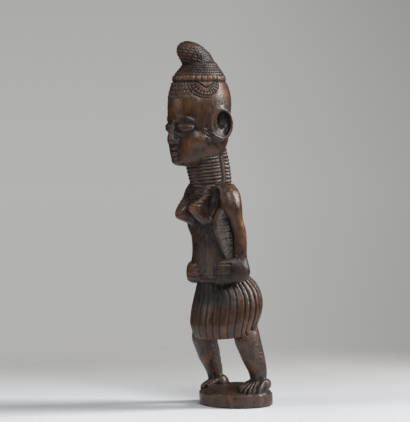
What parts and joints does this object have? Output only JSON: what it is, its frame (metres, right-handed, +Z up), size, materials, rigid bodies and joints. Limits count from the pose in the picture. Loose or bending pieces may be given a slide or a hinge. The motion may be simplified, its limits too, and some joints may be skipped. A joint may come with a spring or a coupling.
{
  "type": "kuba figure",
  "caption": "Standing female figure carved from one block of dark wood, with a fluted skirt, ringed neck, tiered forward crest and an oval base.",
  "frame": {"origin": "centre of the base's flat underside, where the figure stands", "axes": "+Z up, the figure faces -Y, and its left side is +X"},
  "size_m": [0.084, 0.1264, 0.374],
  "materials": {
    "carved_wood": "dark oiled patina, semi-gloss, with rubbed red-brown high spots"
  },
  "bodies": {
    "root": {"carved_figure": "carved_wood"}
  },
  "joints": []
}
